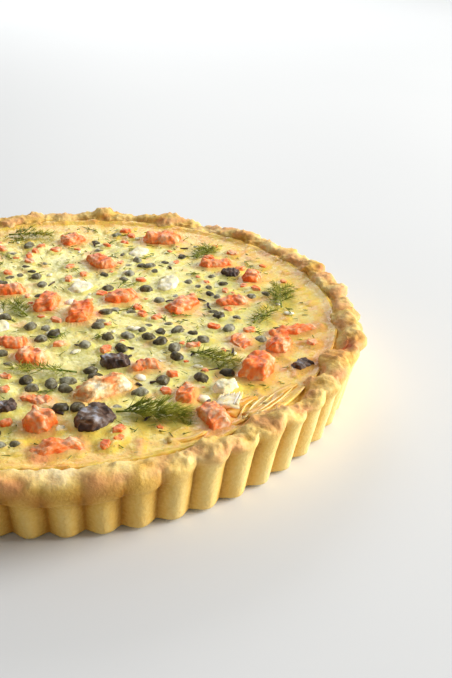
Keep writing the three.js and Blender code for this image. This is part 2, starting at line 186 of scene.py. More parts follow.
def shell_rows(angle):
    """The shell's section at one angle, [radius, height], from the middle of its base round to its inside."""
    rise, lean, out = rim_play(angle)
    dip = flute_dip(angle, CREST_AT_TOP)
    foot_dip = flute_dip(angle, CREST_AT_FOOT)
    fold = folded_share(angle)
    shown = dip * (1 - 0.86 * fold)
    hang = FOLD_DROP * fold * (1 + waves(angle, [(23, 0.14, 1), (41, 0.16, 2), (67, 0.1, 0)]))
    return [
        (0, 0),
        (FOOT_RADIUS - FLUTE_DEPTH - 0.5 * foot_dip, 0),
        (FOOT_RADIUS - foot_dip, FOOT_BEVEL),
        (WALL_TOP_RADIUS - dip - 0.2 * hang, WALL_TOP - hang),
        (WALL_TOP_RADIUS + 0.6 - shown + 0.4 * out + FOLD_OUT * fold, WALL_TOP + 2.4 - 0.85 * hang),
        (RIM_RADIUS - 0.9 * shown + out, RIM_TOP - 2 + 0.5 * rise),
        (RIM_RADIUS - 2.4 - 0.45 * shown + 0.8 * out, RIM_TOP + rise - 0.1 * shown),
        (RIM_INNER_RADIUS + 1.8 - 0.7 * lean, RIM_TOP - 0.2 + 0.8 * rise),
        (RIM_INNER_RADIUS - lean, RIM_TOP - 1.8 + 0.5 * rise),
        (fill_edge(angle), FILL_LEVEL),
        (FLOOR_RADIUS, SHELL_FLOOR),
        (0, SHELL_FLOOR),
    ]


# Noise lies mostly between these values.
NOISE_LOW = 0.3
NOISE_HIGH = 0.7


def colour(text):
    """Turns an sRGB hex value to linear colour."""
    shares = [int(text[i : i + 2], 16) / 255 for i in (0, 2, 4)]
    return (*[c / 12.92 if c <= 0.04045 else ((c + 0.055) / 1.055) ** 2.4 for c in shares], 1.0)


def add_node(tree, kind, inputs=None, stops=None, **settings):
    """Adds a shader node and sets or links its inputs; stops are the places and colours of a ramp."""
    made = tree.nodes.new(kind)
    for key, value in settings.items():
        setattr(made, key, value)
    for place, value in (inputs or {}).items():
        if isinstance(value, bpy.types.NodeSocket):
            tree.links.new(value, made.inputs[place])
        else:
            made.inputs[place].default_value = value
    for index, (position, text) in enumerate(stops or []):
        elements = made.color_ramp.elements
        element = elements[index] if index < 2 else elements.new(position)
        element.position = position
        element.color = colour(text)
    return made


def new_material(name, patterns, **constants):
    """A material with its shader's constants, and noise patterns of a grain in millimetres and a detail."""
    material = bpy.data.materials.new(name)
    material.use_nodes = True
    tree = material.node_tree
    shader = tree.nodes["Principled BSDF"]
    for key, value in constants.items():
        shader.inputs[key.replace("_", " ")].default_value = value
    place = add_node(tree, "ShaderNodeTexCoord").outputs["Object"]
    made = []
    for grain, detail in patterns:
        inputs = {"Vector": place, "Scale": 1 / (grain * MM), "Detail": detail}
        made.append(add_node(tree, "ShaderNodeTexNoise", inputs).outputs["Fac"])
    return material, tree, shader, made


def painted_colour(tree, layer, mottle, stops, tints=()):
    """Colour by a painted layer, mottled by (pattern, least, most), under the tints of other layers."""
    amount = add_node(tree, "ShaderNodeAttribute", attribute_name=layer).outputs["Fac"]
    pattern, least, most = mottle
    inputs = {"Value": pattern, "From Min": NOISE_LOW, "From Max": NOISE_HIGH}
    inputs |= {"To Min": least, "To Max": most}
    added = add_node(tree, "ShaderNodeMapRange", inputs).outputs["Result"]
    amount = add_node(tree, "ShaderNodeMath", {0: amount, 1: added}, operation="ADD").outputs["Value"]
    base = add_node(tree, "ShaderNodeValToRGB", {"Fac": amount}, stops).outputs["Color"]
    for tint_layer, tint in tints:
        share = add_node(tree, "ShaderNodeAttribute", attribute_name=tint_layer).outputs["Fac"]
        inputs = {0: share, 6: base, 7: colour(tint)}
        base = add_node(tree, "ShaderNodeMix", inputs, data_type="RGBA").outputs[2]
    return base


def link_finish(tree, shader, base, sheen, heights, low=NOISE_LOW, high=NOISE_HIGH):
    """Links the colour, a roughness by (pattern, least, most), and bumps by (pattern, metres, strength)."""
    pattern, least, most = sheen
    inputs = {"Value": pattern, "From Min": low, "From Max": high, "To Min": least, "To Max": most}
    roughness = add_node(tree, "ShaderNodeMapRange", inputs).outputs["Result"]
    tree.links.new(base, shader.inputs["Base Color"])
    tree.links.new(roughness, shader.inputs["Roughness"])
    normal = None
    for height, distance, strength in heights:
        inputs = {"Height": height, "Distance": distance, "Strength": strength}
        if normal:
            inputs["Normal"] = normal
        normal = add_node(tree, "ShaderNodeBump", inputs).outputs["Normal"]
    tree.links.new(normal, shader.inputs["Normal"])


def shortcrust():
    """Shortcrust pastry: cream where the tin shielded it, golden to brown where the oven reached, lighter or
    darker where light and shade are painted in, mealy.
    """
    material, tree, shader, (mealy, fine) = new_material(
        "shortcrust_pastry",
        [(1.1, 4.0), (0.45, 2.0)],
        IOR=1.45,
        Specular_IOR_Level=0.35,
        Subsurface_Weight=0.12,
        Subsurface_Radius=(1.0, 0.6, 0.3),
        Subsurface_Scale=2 * MM,
    )
    stops = [(0.0, "f6e6b6"), (1.0, "744a06"), (0.22, "f1d384"), (0.42, "e3b85a"), (0.7, "b67c1c")]
    tints = [("blush", "de9a66"), ("scorch_and_shade", "b4520c")]
    base = painted_colour(tree, "bake", (mealy, -0.04, 0.04), stops, tints)
    link_finish(tree, shader, base, (mealy, 0.55, 0.75), [(mealy, 0.5 * MM, 0.6), (fine, 0.15 * MM, 0.3)])
    return material


def set_custard():
    """Set egg custard: pale yellow, golden where it baked against the shell, moist, flecked with herbs."""
    material, tree, shader, (curdled, dusted) = new_material(
        "set_egg_custard",
        [(2.2, 4.0), (1.3, 2.0)],
        IOR=1.45,
        Specular_IOR_Level=0.45,
        Subsurface_Weight=0.2,
        Subsurface_Radius=(1.0, 0.8, 0.3),
        Subsurface_Scale=3 * MM,
    )
    stops = [(0.0, "ede89c"), (1.0, "a85e26"), (0.2, "e8dd78"), (0.42, "efcc52")]
    stops += [(0.62, "f2ba5e"), (0.82, "dc923a")]
    tints = [("blush", "eea468"), ("herb", "a3a650"), ("cream", "f7eeb8")]
    base = painted_colour(tree, "bake", (curdled, -0.1, 0.1), stops, tints)
    inputs = {"Value": dusted, "From Min": 0.63, "From Max": 0.7, "To Min": 0.0, "To Max": 0.55}
    flecks = add_node(tree, "ShaderNodeMapRange", inputs).outputs["Result"]
    inputs = {0: flecks, 6: base, 7: colour("8f8c4a")}
    base = add_node(tree, "ShaderNodeMix", inputs, data_type="RGBA").outputs[2]
    heights = [(curdled, 0.8 * MM, 0.5), (dusted, 0.3 * MM, 0.4)]
    link_finish(tree, shader, base, (curdled, 0.24, 0.44), heights)
    return material


def cooked_salmon():
    """Cooked smoked salmon: orange flesh going opaque pink, with paler fat lines and darker dried edges."""
    material, tree, shader, (fibrous,) = new_material(
        "cooked_smoked_salmon",
        [(1.2, 4.0)],
        IOR=1.45,
        Specular_IOR_Level=0.5,
        Subsurface_Weight=0.22,
        Subsurface_Radius=(1.0, 0.4, 0.2),
        Subsurface_Scale=2.5 * MM,
    )
    stops = [(0.0, "e84c08"), (1.0, "fdcaa0"), (0.3, "fa6c20"), (0.6, "fd8e46"), (0.8, "fdac76")]
    base = painted_colour(tree, "tone", (fibrous, -0.16, 0.16), stops, [("bake", "b8431a")])
    link_finish(tree, shader, base, (fibrous, 0.32, 0.55), [(fibrous, 0.5 * MM, 0.5)])
    return material


def toasted_salmon():
    """Salmon under a crust of browned custard and cheese: tan and cream over coral."""
    constants = {"IOR": 1.45, "Specular_IOR_Level": 0.4}
    material, tree, shader, (crisp,) = new_material("toasted_cheese_on_salmon", [(1.4, 4.0)], **constants)
    stops = [(0.0, "d95a20"), (1.0, "fdf3d6"), (0.3, "ea8a48"), (0.52, "e6b070"), (0.75, "f3d49a")]
    base = painted_colour(tree, "tone", (crisp, -0.2, 0.2), stops)
    link_finish(tree, shader, base, (crisp, 0.45, 0.65), [(crisp, 0.6 * MM, 0.6)])
    return material


def soft_cheese():
    """Soft white cheese, part melted: cream to ivory, with a slight sheen."""
    material, tree, shader, (melted, grainy) = new_material(
        "soft_white_cheese",
        [(4, 4.0), (0.9, 2.0)],
        IOR=1.45,
        Specular_IOR_Level=0.45,
        Subsurface_Weight=0.3,
        Subsurface_Radius=(1.0, 0.9, 0.6),
        Subsurface_Scale=2.5 * MM,
    )
    inputs = {"Value": melted, "From Min": NOISE_LOW, "From Max": NOISE_HIGH}
    tone = add_node(tree, "ShaderNodeMapRange", inputs).outputs["Result"]
    stops = [(0.0, "efdf98"), (1.0, "fffbec"), (0.5, "f8f0c8")]
    base = add_node(tree, "ShaderNodeValToRGB", {"Fac": tone}, stops).outputs["Color"]
    link_finish(tree, shader, base, (grainy, 0.38, 0.55), [(grainy, 0.4 * MM, 0.45)])
    return material


def melted_cheese():
    """Melted cheese strands and skins: translucent amber with cream ridges, oily."""
    material, tree, shader, (streaky,) = new_material(
        "melted_cheese_strands",
        [(3, 3.0)],
        IOR=1.45,
        Specular_IOR_Level=0.5,
        Subsurface_Weight=0.4,
        Subsurface_Radius=(1.0, 0.7, 0.3),
        Subsurface_Scale=2 * MM,
    )
    stops = [(0.0, "eda83a"), (1.0, "fff8e0"), (0.5, "f6d27a")]
    base = painted_colour(tree, "tone", (streaky, -0.2, 0.2), stops)
    link_finish(tree, shader, base, (streaky, 0.25, 0.4), [(streaky, 0.3 * MM, 0.3)])
    return material


def cooked_onion():
    """Red onion cooked dark: brown to plum-black, with a painted grey sheen on its folds."""
    constants = {"IOR": 1.4, "Specular_IOR_Level": 0.5}
    patterns = [(3.5, 4.0), (0.9, 2.0)]
    material, tree, shader, (stained, veined) = new_material("dark_cooked_red_onion", patterns, **constants)
    # The grey at the pale end of the ramp is painted sheen.
    stops = [(0.0, "1a1416"), (1.0, "9a9aa2"), (0.35, "38261f"), (0.6, "5a4030"), (0.8, "746458")]
    base = painted_colour(tree, "tone", (stained, -0.3, 0.3), stops)
    heights = [(stained, 0.5 * MM, 0.3), (veined, 0.3 * MM, 0.4)]
    link_finish(tree, shader, base, (veined, 0.42, 0.6), heights)
    return material


def dill_leaf():
    """Dill fronds: yellow-green threads with darker stems, a soft sheen."""
    constants = {"IOR": 1.4, "Specular_IOR_Level": 0.4}
    material, tree, shader, (uneven,) = new_material("dill_fronds", [(3, 2.0)], **constants)
    stops = [(0.0, "48600f"), (1.0, "c6bc54"), (0.45, "868f28"), (0.75, "aaa63a")]
    base = painted_colour(tree, "tone", (uneven, -0.3, 0.3), stops)
    link_finish(tree, shader, base, (uneven, 0.4, 0.55), [(uneven, 0.1 * MM, 0.2)])
    return material


def brined_caper():
    """Brined capers: wrinkled grey-olive to near-black buds, paler grey on top as painted highlight, greyer
    where custard films them, moist.
    """
    constants = {"IOR": 1.4, "Specular_IOR_Level": 0.5}
    material, tree, shader, (wrinkled,) = new_material("brined_capers", [(1.1, 3.0)], **constants)
    stops = [(0.0, "24220f"), (1.0, "a09f88"), (0.35, "453c20"), (0.65, "6a6344")]
    base = painted_colour(tree, "tone", (wrinkled, -0.18, 0.22), stops, [("film", "cbc57e")])
    link_finish(tree, shader, base, (wrinkled, 0.3, 0.5), [(wrinkled, 0.5 * MM, 0.6)])
    return material


def pale_table():
    """A plain pale table top, satin."""
    material, tree, shader, (soft,) = new_material("pale_table", [(400, 2.0)], Specular_IOR_Level=0.3)
    stops = [(0.0, "d6dadc"), (1.0, "dcdfe1")]
    base = add_node(tree, "ShaderNodeValToRGB", {"Fac": soft}, stops).outputs["Color"]
    link_finish(tree, shader, base, (soft, 0.5, 0.6), [(soft, 0.1 * MM, 0.05)], low=0.0, high=1.0)
    return material


PASTRY = shortcrust()
CUSTARD = set_custard()
SALMON = cooked_salmon()
TOASTED = toasted_salmon()
CHEESE = soft_cheese()
MELTED = melted_cheese()
ONION = cooked_onion()
DILL = dill_leaf()
CAPER = brined_caper()


def make_piece(name, bm, material, replaced=(), attributes=None):
    """Turns a bmesh in millimetres into a piece that rides on the quiche."""
    bmesh.ops.scale(bm, vec=(MM, MM, MM), verts=bm.verts)
    for face in bm.faces:
        face.smooth = True
    mesh = bpy.data.meshes.new(name)
    bm.verts.index_update()
    bm.to_mesh(mesh)
    bm.free()
    for key, values in (attributes or {}).items():
        layer = mesh.attributes.new(key, "FLOAT", "POINT")
        layer.data.foreach_set("value", values)
    piece = bpy.data.objects.new(name, mesh)
    bpy.context.scene.collection.objects.link(piece)
    mesh.materials.append(material)
    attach(piece, "root")
    if replaced:
        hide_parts(*replaced)


def spun_line(bm, marks, steps):
    """Spins a line whose points lie at the given distances from the axis; each point keeps its mark."""
    points = [bm.verts.new((mark, 0, 0)) for mark in marks]
    lines = [bm.edges.new(pair) for pair in zip(points, points[1:])]
    bmesh.ops.spin(
        bm,
        geom=points + lines,
        cent=(0, 0, 0),
        axis=(0, 0, 1),
        dvec=(0, 0, 0),
        angle=TURN,
        steps=steps,
        use_merge=True,
    )


MERGE_WITHIN = 0.002


def close_spun(bm, values, layers, unpainted):
    """Merges a spun shape's seam and poles, and returns each layer's painted amounts, point by point."""
    bmesh.ops.remove_doubles(bm, verts=bm.verts, dist=MERGE_WITHIN)
    bmesh.ops.recalc_face_normals(bm, faces=bm.faces)
    rows = [values.get(tuple(vert.co), unpainted) for vert in bm.verts]
    return {layer: [row[i] for row in rows] for i, layer in enumerate(layers)}


def soften(bm, times):
    """Rounds a shape's corners; each time it rounds them more."""
    axes = {"use_axis_x": True, "use_axis_y": True, "use_axis_z": True}
    for _ in range(times):
        bmesh.ops.smooth_vert(bm, verts=bm.verts, factor=0.5, **axes)


# The pastry shell. A mark is a row number of shell_rows, with fractions between the rows: the wall goes up
# from 2 to 4, the rim goes over to 8, and its inside goes down from there.
SHELL_STEPS = 960
ROW_SPLITS = [2, 2, 14, 4, 5, 5, 7, 5, 4, 2, 1]
FOOT_ROW = 2
INSIDE_ROW = 8
# The hollow in the rim is dark orange-brown: browning with painted shade in it.
HOLLOW_AT = -25  # degrees, of the browned hollow in the rim
PETAL_AT = -31  # degrees, of the petal of dough that stands up beside it


def unit_slopes(rows):
    """Direction of the section at each row, and the length to the next row."""
    gaps = [max(0.01, math.dist(a, b)) for a, b in zip(rows, rows[1:])]
    slopes = []
    for i in range(len(rows)):
        low = max(0, i - 1)
        high = min(len(rows) - 1, i + 1)
        span = sum(gaps[low:high])
        slopes.append(((rows[high][0] - rows[low][0]) / span, (rows[high][1] - rows[low][1]) / span))
    return slopes, gaps


def on_section(rows, slopes, gaps, mark):
    """Place and outward direction at a mark: straight along the base and the wall, rounded over the rim."""
    index = min(int(mark), len(rows) - 2)
    share = mark - index
    a, b = rows[index], rows[index + 1]
    gap = gaps[index]
    if index < FOOT_ROW or index > INSIDE_ROW:
        place = [a[k] + share * (b[k] - a[k]) for k in (0, 1)]
        heading = [(b[k] - a[k]) / gap for k in (0, 1)]
        return place, (heading[1], -heading[0])
    first, last = slopes[index], slopes[index + 1]
    if index == FOOT_ROW:
        first = [(b[k] - a[k]) / gap for k in (0, 1)]
    square, cube = share * share, share * share * share
    place = [
        (2 * cube - 3 * square + 1) * a[k]
        + (cube - 2 * square + share) * gap * first[k]
        + (3 * square - 2 * cube) * b[k]
        + (cube - square) * gap * last[k]
        for k in (0, 1)
    ]
    heading = [
        (6 * square - 6 * share) * (a[k] - b[k]) / gap
        + (3 * square - 4 * share + 1) * first[k]
        + (3 * square - 2 * share) * last[k]
        for k in (0, 1)
    ]
    length = max(1e-6, math.hypot(*heading))
    return place, (heading[1] / length, -heading[0] / length)


def flake_steps(value):
    """A terrace: flat, then a sudden small step, as a broken flaky edge has."""
    return math.floor(value) + ease(0.72, 1.0, value - math.floor(value))


def shell_relief(x, y, height, mark, folded):
    """How far the pastry stands out at one place: mealy on the wall, flaky and crumbling on the rim."""
    rim = ease(4.4, 5.8, mark) * (1 - ease(8.4, 9.2, mark))
    wall = ease(2.0, 2.6, mark) * (1 - ease(8.4, 9.2, mark))
    relief = wall * (0.26 * rough(x, y, height, 9) + 0.1 * rough(x, y, height, 2.2))
    relief += rim * (0.4 * rough(x, y, height, 7) + 0.45 * rough(x, y, height * 1.5, 2.8))
    layers = flake_steps(2.6 * rough(x + 40, y, height * 2.6, 7) + 0.5 * rough(x, y, height, 2))
    relief += rim * (0.6 - 0.35 * folded) * layers
    crumbs = ease(0.2, 0.45, rough(x, y + 70, height, 1.9))
    relief += rim * (1 - 0.6 * folded) * 0.6 * crumbs
    return relief + folded * rim * 0.3 * rough(x, y, height, 4.5)


def shell_tints(x, y, height, mark, angle, folded, dip, rise, relief):
    """How baked and pink the pastry is at one place, and how dark in the rim's hollow; painted light and
    shade go into how baked it looks.
    """
    rim = ease(4.2, 5.6, mark) * (1 - ease(8.6, 9.4, mark))
    wall = ease(1.6, 2.2, mark) * (1 - ease(3.8, 5.2, mark))
    # Darker in the flute valleys: partly browning where the tin's ridges pressed, partly painted shade.
    browned_and_painted_light = 0.3 + 0.08 * rough(x, y, height, 14) - 0.04 * rim + 0.42 * dip * wall
    # A little darker on the wall below the folded band, the shaded front left, as painted shade; darker in
    # random patches on the rim.
    browned_and_painted_light += 0.05 * folded * wall + 0.16 * rim * rough(x, y, 9, 11)
    # Paler on the wall at the right front, which faces the light: painted light.
    browned_and_painted_light -= 0.16 * near(angle, HOLLOW_AT, 42) * wall
    browned_and_painted_light += 0.2 * ease(0.2, 0.6, rough(x + 9, y, 31, 7)) * rim - 0.16 * folded * bell(mark, 7.4, 0.9)
    # Darker on the folded band's lower outer face, and darker still just under its overhang, as painted
    # shadow.
    browned_and_painted_light += 0.24 * folded * bell(mark, 4.6, 0.8) + 0.2 * folded * bell(mark, 3.3, 0.4)
    # Browner where the rim rises higher; paler on raised crumbs and darker in the pits between, as painted
    # highlight and shade; paler on the standing petal's crest, as painted highlight.
    browned_and_painted_light += 0.03 * rise * rim - 0.1 * relief * rim - 0.12 * near(angle, PETAL_AT, 3) * bell(mark, 7, 0.8)
    # Darker in streaks on the inner side of the standing petal, which faces away from the light: painted
    # shade.
    browned_and_painted_light += 0.25 * near(angle, -33, 4) * bell(mark, 8.3, 0.6) * (1 + 2 * rough(x, y, height, 2))
    blushed = 0.8 * ease(-0.25, 0.4, rough(x, y + 20, height * 0.6, 9)) * bell(mark, 5.5, 0.9)
    blushed += 0.7 * (1 - folded) * ease(-0.2, 0.4, rough(x + 50, y, height, 6)) * bell(mark, 7.2, 1.1)
    torn = 1 + 0.6 * rough(x, y, height, 2)
    # Dark orange-brown in the rim's hollow: browning, with painted shade in the hollow.
    scorched_and_shaded = 1.1 * torn * near(angle, HOLLOW_AT, 3.4) * bell(mark, 6.9, 1)
    return min(0.95, max(0.0, browned_and_painted_light)), min(1.0, blushed), min(1.0, scorched_and_shaded)


def build_shell():
    """The pastry shell: a section spun round, then moved point by point to its fluted wall and torn rim."""
    bm = bmesh.new()
    marks = [0.0]
    for row, splits in enumerate(ROW_SPLITS):
        marks += [row + (i + 1) / splits for i in range(splits)]
    spun_line(bm, marks, SHELL_STEPS)
    sections = {}
    values = {}
    for vert in bm.verts:
        mark = vert.co.length
        angle = math.atan2(vert.co.y, vert.co.x)
        key = round(angle / TURN * SHELL_STEPS) % SHELL_STEPS
        if key not in sections:
            angle = TURN * key / SHELL_STEPS
            rows = shell_rows(angle)
            dip = flute_dip(angle, CREST_AT_TOP) / FLUTE_DEPTH
            sections[key] = (angle, rows, *unit_slopes(rows), rim_play(angle)[0], folded_share(angle), dip)
        angle, rows, slopes, gaps, rise, folded, dip = sections[key]
        (radius, height), (away, up) = on_section(rows, slopes, gaps, mark)
        x, y = radius * math.cos(angle), radius * math.sin(angle)
        hollow = near(angle, HOLLOW_AT, 3) * bell(mark, 6.9, 0.7)
        relief = shell_relief(x, y, height, mark, folded) - 1.5 * hollow
        radius += relief * away
        height += relief * up
        resting = max(0.0, height) if mark > 1 else height
        vert.co = (radius * math.cos(angle), radius * math.sin(angle), resting)
        tints = shell_tints(x, y, height, mark, angle, folded, dip, rise, relief)
        values[tuple(vert.co)] = tints
    # The shell's bake layer holds painted light and shade as well as browning.
    layers = close_spun(bm, values, ("bake", "blush", "scorch_and_shade"), (0.3, 0.0, 0.0))
    make_piece("pastry_shell", bm, PASTRY, ["crust"], layers)


# The toppings, from their solids: merged, split finer, rounded and torn rough.
TOPPING_CUTS = 6


class Topping:
    """One topping's shape in millimetres, with its centre and the direction it lies in."""

    def __init__(self, node):
        self.node = node
        self.bm = bmesh.new()
        self.bm.from_mesh(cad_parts[node].data)
        bmesh.ops.scale(self.bm, vec=(1 / MM,) * 3, verts=self.bm.verts)
        bmesh.ops.remove_doubles(self.bm, verts=self.bm.verts, dist=0.01)
        places = [vert.co.copy() for vert in self.bm.verts]
        self.centre = sum(places, Vector()) / len(places)
        spread = [p - self.centre for p in places]
        across = sum(p.x * p.y for p in spread)
        self.turn = 0.5 * math.atan2(2 * across, sum(p.x * p.x - p.y * p.y for p in spread))


def flaky(bm, centre, turn, seed, lumpy, ridge):
    """Tears a shape into flakes, by a lumpy and a ridged relief in millimetres. Returns its layers."""
    bm.normal_update()
    cosine, sine = math.cos(turn), math.sin(turn)
    low = min(vert.co.z for vert in bm.verts)
    high = max(vert.co.z for vert in bm.verts)
    shift = seed * 7.3
    tones, bakes, moves = [], [], []
    for vert in bm.verts:
        x, y, z = vert.co
        along = (x - centre.x) * cosine + (y - centre.y) * sine
        across = (y - centre.y) * cosine - (x - centre.x) * sine
        layer = (along + 0.4 * across + 0.3 * z) / 2.5 + 0.8 * rough(x, y, z + shift, 6) + shift
        step = flake_steps(layer) - layer
        torn = rough(x + shift, y, z, 3.8) + 0.5 * rough(x, y + shift, z, 1.6)
        height_share = (z - low) / (high - low)
        moves.append(vert.normal * (lumpy * torn + ridge * step))
        line = bell(step, -0.62, 0.12)
        tones.append(0.42 + 0.5 * rough(x, y + shift, z, 5) + 0.3 * line + 0.18 * height_share)
        bakes.append(0.6 * ease(0.8, 1.0, height_share) * ease(0.05, 0.5, rough(x + shift, y, 3, 4)))
    for vert, move in zip(bm.verts, moves):
        vert.co += move
    return {"tone": tones, "bake": bakes}


def build_topping(topping, material, seed, lumpy, ridge, soft):
    """A topping from its solid; soft is how many times its corners are rounded."""
    bm = topping.bm
    bmesh.ops.subdivide_edges(bm, edges=bm.edges, cuts=TOPPING_CUTS, use_grid_fill=True)
    soften(bm, soft)
    layers = flaky(bm, topping.centre, topping.turn, seed, lumpy, ridge)
    make_piece(topping.node + "_piece", bm, material, [topping.node], layers)


def toppings_of(kind):
    """The solids of one kind of topping; the toasted piece is a kind of its own."""
    names = [node for node in sorted(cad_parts) if node.startswith(kind) and "toasted" not in node]
    return [Topping(node) for node in names]


salmon_toppings = toppings_of("salmon")
cheese_toppings = toppings_of("cheese")
onion_toppings = toppings_of("onion")
toasted_topping = Topping("salmon_toasted")
all_toppings = [*salmon_toppings, *cheese_toppings, *onion_toppings, toasted_topping]


def outline_tree(toppings):
    """Finds how far a place on the custard is from the nearest of these toppings."""
    dense = []
    for topping in toppings:
        points = [vert.co for vert in topping.bm.verts]
        for edge in topping.bm.edges:
            a, b = (vert.co for vert in edge.verts)
            dense += [a.lerp(b, share / 4) for share in range(5)]
        dense += points
    tree = kdtree.KDTree(len(dense))
    for index, point in enumerate(dense):
        tree.insert((point.x, point.y, 0), index)
    tree.balance()
    return tree


near_salmon = outline_tree([*salmon_toppings, toasted_topping])
near_any = outline_tree(all_toppings)


def distance_to(tree, x, y):
    """Millimetres from a place to the nearest point of an outline tree."""
    return tree.find((x, y, 0))[2]


# The dill sprigs: middle x and y, length, width, turn in degrees, leaflets, and how bushy they are.
DILL_SPRIGS = [
    (-13, -44, 27, 9, 170, 10, 0.7),
    (52, -45, 20, 12, -35, 10, 1.0),
    (25, -80, 25, 15, -12, 12, 2.2),
    (90, 5, 21, 13, 75, 8, 1.6),
    (79, -12, 16, 9, 40, 6, 1.0),
    (-22, 9, 16, 9, 115, 6, 1.0),
    (-18, 93, 23, 11, -8, 8, 1.6),
    (64, 60, 16, 11, 55, 8, 1.0),
    (-74, -8, 18, 11, -25, 10, 1.0),
    (-36, -61, 17, 9, 100, 8, 1.0),
]


def near_dill(x, y):
    """How far inside or near a sprig's outline a place is, from 0 to 1."""
    nearest = 9.0
    for cx, cy, long, wide, turn, *_ in DILL_SPRIGS:
        angle = math.radians(turn)
        dx, dy = x - cx, y - cy
        u = dx * math.cos(angle) + dy * math.sin(angle)
        v = dy * math.cos(angle) - dx * math.sin(angle)
        nearest = min(nearest, math.hypot(u / (0.5 * long), v / (0.5 * wide)))
    return 1 - ease(0.6, 1.5, nearest)


# Capers and flakes of salmon. Those of the solids are found again by the height of the solid filling.
CAPER_RADIUS = 2.7
FLAKE_RADIUS = 3.2
FLAKE_THICKNESS = 3.6
CAPERS_AT_FRONT = [
    (-28, -29), (-13, -19), (-8, -16), (4, -26), (13, -22), (21, -22), (29, -24), (33, -29), (41, -20),
    (38, -35), (35, -47), (38, -42), (5, -46), (-3, -53), (7, -51), (-18, -51), (-9, -55), (-4, -59),
    (-16, -57), (-6, -72), (0, -72), (31, -58), (45, -58), (55, -56), (22, -65), (28, -61), (62, -21),
    (60, -8), (50, -30), (18, -31),
]
FLAKES_AT_FRONT = [
    (-6, -24), (12, -31), (-25, -57), (31, -65), (56, -18), (70, -23), (34, -6), (27, 4), (92, -38),
    (80, 14), (31, 32), (13, -88), (-24, -78), (-1, 38), (35, -54),
]
SCATTERED_CAPERS = 12
SCATTERED_FLAKES = 6
SCATTER_RADIUS = 92
STANDS_OUT = 1.1  # the solid filling is this much higher than the custard where something is fused to it
FUSED_OVERLAP = 0.4
MOST_TRIES = 4000


def strewn(draw, reach):
    """A place drawn evenly from a disc, as x and y."""
    distance = reach * math.sqrt(draw())
    angle = TURN * draw()
    return distance * math.cos(angle), distance * math.sin(angle)


def fused_toppings():
    """The capers and flakes of the solid filling: x, y, size, turn, kind, and lift as a share of the size."""
    solid = bmesh.new()
    solid.from_mesh(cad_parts["filling"].data)
    tops = BVHTree.FromBMesh(solid)
    solid.free()
    placed = []

    def place(x, y, radius, kind):
        """Adds a topping where no other lies and the solid filling stands out."""
        if any(math.hypot(x - spot[0], y - spot[1]) <= radius + spot[-1] - FUSED_OVERLAP for spot in placed):
            return False
        hit = tops.ray_cast(Vector((x, y, 60)) * MM, Vector((0, 0, -1)))[0]
        if hit.z / MM < surface_height(x, y) + STANDS_OUT:
            return False
        draw = Draw(400 + len(placed))
        size = radius * (0.85 + 0.3 * draw())
        placed.append((x, y, size, TURN * draw(), kind, 0.12, radius))
        return True

    kinds = (
        (FLAKES_AT_FRONT, SCATTERED_FLAKES, FLAKE_RADIUS, "flake"),
        (CAPERS_AT_FRONT, SCATTERED_CAPERS, CAPER_RADIUS, "caper"),
    )
    for places, _, radius, kind in kinds:
        for x, y in places:
            place(x, y, radius, kind)
    draw = Draw(5)
    for _, count, radius, kind in kinds:
        made = tries = 0
        while made < count and tries < MOST_TRIES:
            made += place(*strewn(draw, SCATTER_RADIUS), radius, kind)
            tries += 1
    return [spot[:-1] for spot in placed]


# The loose toppings that the solids leave out: how many, and how far from the middle they lie.
EXTRAS = {"caper": 76, "flake": 92}
CAPER_CLUSTERS = [
    (12, 50), (-22, 46), (36, 44), (58, 22), (-40, -20), (22, -8), (-62, 26), (70, -10), (-20, -88),
]
EXTRAS_REACH = 98
FLECK_PARTS = 32
FLECKS_IN_PART = 22
FLECKS_REACH = 101
TUFTS = 54
SHREDS = 30
SHREDS_REACH = 95
CURDS = 46
LOOSE_REACH = 96


def extra_toppings(placed):
    """More capers and small flakes where the solids have none, the capers mostly in loose clusters."""
    draw = random.Random(11)
    spots = list(placed)
    made = {"caper": 0, "flake": 0}
    while made != EXTRAS:
        kind = "caper" if made["caper"] < EXTRAS["caper"] else "flake"
        if kind == "caper" and draw.random() < 0.7:
            x, y = (c + draw.gauss(0, 11) for c in draw.choice(CAPER_CLUSTERS))
        else:
            x, y = strewn(draw.random, EXTRAS_REACH - 1)
        size = draw.uniform(1.9, 2.7) if kind == "caper" else draw.uniform(1.3, 3.4)
        apart = all(math.hypot(x - spot[0], y - spot[1]) > 0.9 * (size + spot[2]) for spot in spots)
        clear = distance_to(near_any, x, y) > size + 0.4 and near_dill(x, y) < 0.6
        if apart and clear and math.hypot(x, y) < EXTRAS_REACH:
            spots.append((x, y, size, TURN * draw.random(), kind, draw.uniform(-0.35, 0.1)))
            made[kind] += 1
    return spots


